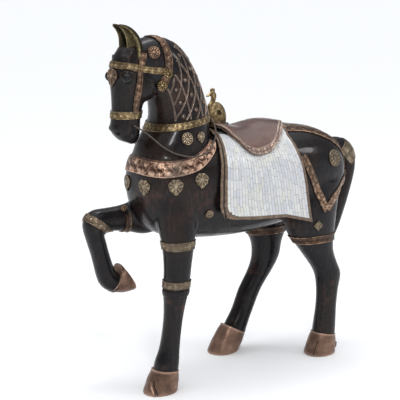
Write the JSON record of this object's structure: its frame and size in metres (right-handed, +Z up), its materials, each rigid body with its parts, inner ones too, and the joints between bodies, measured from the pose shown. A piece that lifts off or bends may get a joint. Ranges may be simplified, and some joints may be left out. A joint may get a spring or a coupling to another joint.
{
  "type": "carved horse statue",
  "caption": "Carved and painted wooden parade horse with embossed brass and copper harness, pearl-tiled saddle cloth and a raised foreleg.",
  "frame": {"origin": "on the ground, at the middle of the bounding box seen from above", "axes": "+Z up, the horse faces -X, its left side is -Y"},
  "size_m": [0.9632, 0.2954, 1.0617],
  "materials": {
    "painted_wood": "near-black painted wood, satin, worn to brown on edges",
    "aged_brass": "embossed sheet brass, aged and part polished",
    "aged_copper": "embossed sheet copper, aged brown in the hollows",
    "hoof_copper": "smooth dull sheet copper, torn and dented",
    "pearl_tile": "small mother-of-pearl tiles, glossy white to pale grey",
    "saddle_copper": "brown sheet copper, satin, embossed along the edge",
    "dark_cord": "thin dark cord"
  },
  "bodies": {
    "root": {"band_fore_left_knee": "aged_brass", "band_fore_left_upper": "aged_brass", "band_fore_right_knee": "aged_brass", "band_fore_right_upper": "aged_copper", "band_hind_left": "aged_copper", "band_hind_right": "aged_copper", "breast_collar": "aged_copper", "browband": "aged_brass", "cheek_strap_left": "aged_copper", "cheek_strap_right": "aged_copper", "croup_strap_left": "aged_copper", "croup_strap_right": "aged_copper", "crown_strap_left": "aged_brass", "crown_strap_right": "aged_brass", "ear_left": "aged_brass", "ear_right": "aged_brass", "hip_strap_front_left": "aged_copper", "hip_strap_front_right": "aged_copper", "hip_strap_rear_left": "aged_copper", "hip_strap_rear_right": "aged_copper", "hoof_fore_left": "hoof_copper", "hoof_fore_right": "hoof_copper", "hoof_hind_left": "hoof_copper", "hoof_hind_right": "hoof_copper", "horse_body": "painted_wood", "neck_band": "aged_brass", "noseband": "aged_brass", "pendant_brow": "aged_copper", "pendant_chest_left": "aged_brass", "pendant_chest_right": "aged_brass", "pendant_girth_left": "aged_brass", "pendant_girth_right": "aged_brass", "pendant_shoulder_left": "aged_brass", "pendant_shoulder_right": "aged_brass", "pendant_withers_left": "aged_brass", "pendant_withers_right": "aged_brass", "pommel_peacock": "aged_brass", "rein": "dark_cord", "rosette_flank_left": "aged_brass", "rosette_flank_right": "aged_brass", "rosette_forearm": "aged_copper", "rosette_girth_left": "aged_brass", "rosette_girth_right": "aged_brass", "rosette_hip_left": "aged_brass", "rosette_hip_right": "aged_brass", "rosette_jaw_left": "aged_brass", "rosette_jaw_right": "aged_brass", "rosette_neck_left": "aged_brass", "rosette_neck_right": "aged_brass", "saddle": "saddle_copper", "saddle_cloth": "pearl_tile", "throat_band": "aged_brass"}
  },
  "joints": []
}
